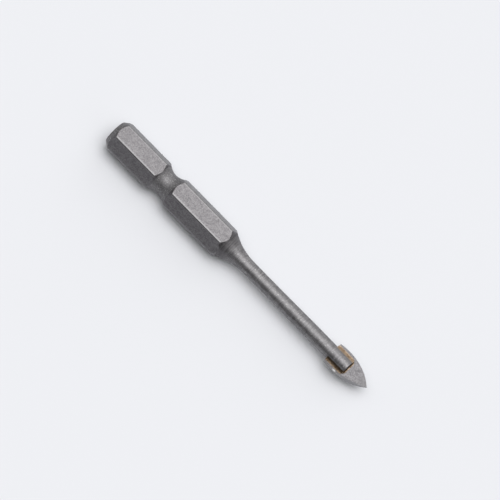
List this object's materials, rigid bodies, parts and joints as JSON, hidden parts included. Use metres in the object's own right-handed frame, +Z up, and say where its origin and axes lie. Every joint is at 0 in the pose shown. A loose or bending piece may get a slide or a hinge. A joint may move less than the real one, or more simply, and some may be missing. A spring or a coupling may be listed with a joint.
{
  "type": "glass and tile drill bit",
  "caption": "Slim drill bit with a grooved hex shank, a hollow shoulder down to a round shaft, and a spear-shaped carbide blade brazed into a slot, for drilling glass and tile.",
  "frame": {"origin": "on the surface that the bit lies on, under its axis, halfway along its length", "axes": "+X along the bit's axis from the shank's back end to the point, +Z up from the hex flat that it lies on, +Y across the bit"},
  "size_m": [0.07, 0.0072, 0.0063],
  "materials": {
    "shank_steel": "satin blasted steel with fine turning marks on the shoulder and shaft",
    "carbide": "matt sintered tungsten carbide with ground flanks",
    "braze": "dull tan brazing alloy"
  },
  "bodies": {
    "root": {"shank": "shank_steel", "carbide_tip": "carbide", "braze": "braze"}
  },
  "joints": []
}
